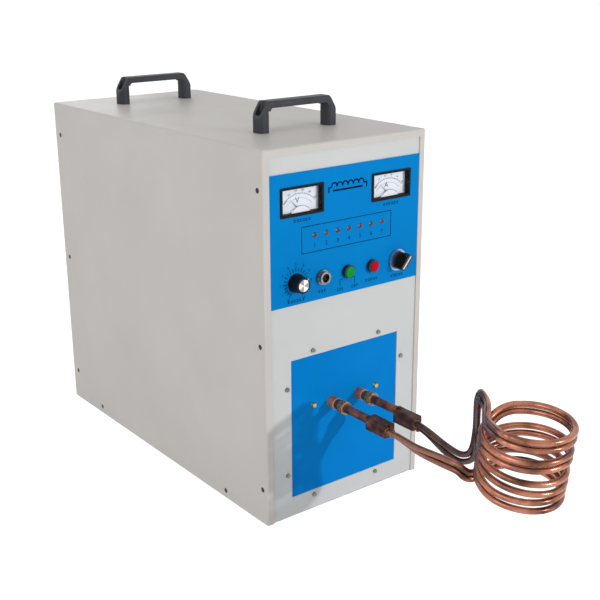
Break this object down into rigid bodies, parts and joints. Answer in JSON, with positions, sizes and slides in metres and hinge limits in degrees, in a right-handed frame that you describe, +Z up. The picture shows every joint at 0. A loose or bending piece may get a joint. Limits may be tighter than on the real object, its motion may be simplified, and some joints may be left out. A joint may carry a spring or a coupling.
{
  "type": "induction heating machine",
  "caption": "Upright sheet-metal induction heater: meters, lamps and knobs on a blue control plate, and a helical work coil of paired copper tubes on two leads from an insulating board.",
  "frame": {"origin": "middle of the cabinet's underside", "axes": "+Z up, -Y towards the front with the control panel and the work coil, +X to the right seen from the front"},
  "size_m": [0.27, 0.9559, 0.546],
  "materials": {
    "cover_paint": "satin",
    "panel_paint": "satin",
    "zinc_steel": "galvanised",
    "blue_paint": "satin",
    "blue_laminate": "satin",
    "handle_plastic": "fine grain",
    "black_plastic": "satin",
    "gloss_black": "gloss",
    "dark_screw": "blackened",
    "steel": "plain",
    "chrome": "polished",
    "aluminium": "turned",
    "brass": "plain",
    "copper": "drawn copper, heat stained",
    "brazed_copper": "oxidised copper",
    "dial_white": "printed",
    "clear_window": "clear",
    "red_lens": "translucent",
    "green_lens": "translucent",
    "red_plastic": "gloss",
    "green_plastic": "gloss",
    "rubber": "matt",
    "hose_rubber": "matt",
    "ferrite": "sintered",
    "white_plastic": "moulded",
    "circuit_board": "varnished",
    "blue_sleeve": "sleeved can"
  },
  "bodies": {
    "cabinet": {"cover": "cover_paint", "base_pan": "zinc_steel", "front_panel": "panel_paint", "rear_panel": "panel_paint", "equipment_shelf": "zinc_steel", "front_handle": "handle_plastic", "rear_handle": "handle_plastic", "handle_screws": "dark_screw", "cover_screws": "dark_screw", "control_plate": "blue_paint", "terminal_board": "blue_laminate", "board_screws": "steel", "board_studs": "brass", "voltmeter_case": "black_plastic", "voltmeter_dial": "dial_white", "voltmeter_window": "clear_window", "ammeter_case": "black_plastic", "ammeter_dial": "dial_white", "ammeter_window": "clear_window", "lamp_bezels": "chrome", "red_lamps": "red_lens", "green_lamp": "green_lens", "potentiometer": "steel", "foot_switch_socket": "chrome", "socket_pins": "brass", "button_bezels": "gloss_black", "selector_bezel": "chrome", "contact_blocks": "black_plastic", "terminals": "copper", "terminal_gaskets": "rubber", "union_nuts": "brass", "lead_pipes": "copper", "brazing_blocks": "brazed_copper", "coil_tube_upper": "copper", "coil_tube_lower": "copper", "fan_housing": "black_plastic", "fan_guard": "steel", "breaker": "white_plastic", "water_fittings": "brass", "cable_gland": "black_plastic", "earth_stud": "brass", "transformer_core": "ferrite", "transformer_windings": "copper", "resonance_capacitors": "white_plastic", "heat_sink": "aluminium", "power_modules": "black_plastic", "filter_capacitors": "blue_sleeve", "control_board": "circuit_board", "control_transformer": "ferrite", "water_hoses": "hose_rubber"},
    "voltmeter_needle": {"voltmeter_needle": "dark_screw"},
    "ammeter_needle": {"ammeter_needle": "dark_screw"},
    "power_knob": {"potentiometer_shaft": "steel", "power_knob": "black_plastic", "power_knob_cap": "aluminium"},
    "green_button": {"green_button": "green_plastic"},
    "red_button": {"red_button": "red_plastic"},
    "selector_knob": {"selector_knob": "gloss_black"},
    "fan_rotor": {"fan_rotor": "black_plastic"},
    "breaker_lever": {"breaker_lever": "gloss_black"}
  },
  "joints": [
    {"name": "voltmeter_needle_turn", "type": "hinge", "parent": "cabinet", "child": "voltmeter_needle", "pos_m": [-0.0745, -0.2754, 0.4229], "axis": [0, 1, 0], "range_deg": [0, 90], "stiffness_Nm_per_rad": 0.0002},
    {"name": "ammeter_needle_turn", "type": "hinge", "parent": "cabinet", "child": "ammeter_needle", "pos_m": [0.0745, -0.2754, 0.4229], "axis": [0, 1, 0], "range_deg": [0, 90], "stiffness_Nm_per_rad": 0.0002},
    {"name": "power_knob_turn", "type": "hinge", "parent": "cabinet", "child": "power_knob", "pos_m": [-0.085, -0.2854, 0.331], "axis": [0, 1, 0], "range_deg": [-195, 105]},
    {"name": "green_button_push", "type": "slide", "parent": "cabinet", "child": "green_button", "axis": [0, 1, 0], "range_m": [0, 0.0025], "stiffness_N_per_m": 800, "springref_m": -0.002},
    {"name": "red_button_push", "type": "slide", "parent": "cabinet", "child": "red_button", "axis": [0, 1, 0], "range_m": [0, 0.0025], "stiffness_N_per_m": 800, "springref_m": -0.002},
    {"name": "selector_turn", "type": "hinge", "parent": "cabinet", "child": "selector_knob", "pos_m": [0.088, -0.2854, 0.331], "axis": [0, 1, 0], "range_deg": [-80, 0]},
    {"name": "fan_spin", "type": "hinge", "parent": "cabinet", "child": "fan_rotor", "pos_m": [0.055, 0.2642, 0.385], "axis": [0, 1, 0], "continuous": true},
    {"name": "breaker_switch", "type": "hinge", "parent": "cabinet", "child": "breaker_lever", "pos_m": [-0.075, 0.2842, 0.4], "axis": [1, 0, 0], "range_deg": [0, 60]}
  ]
}
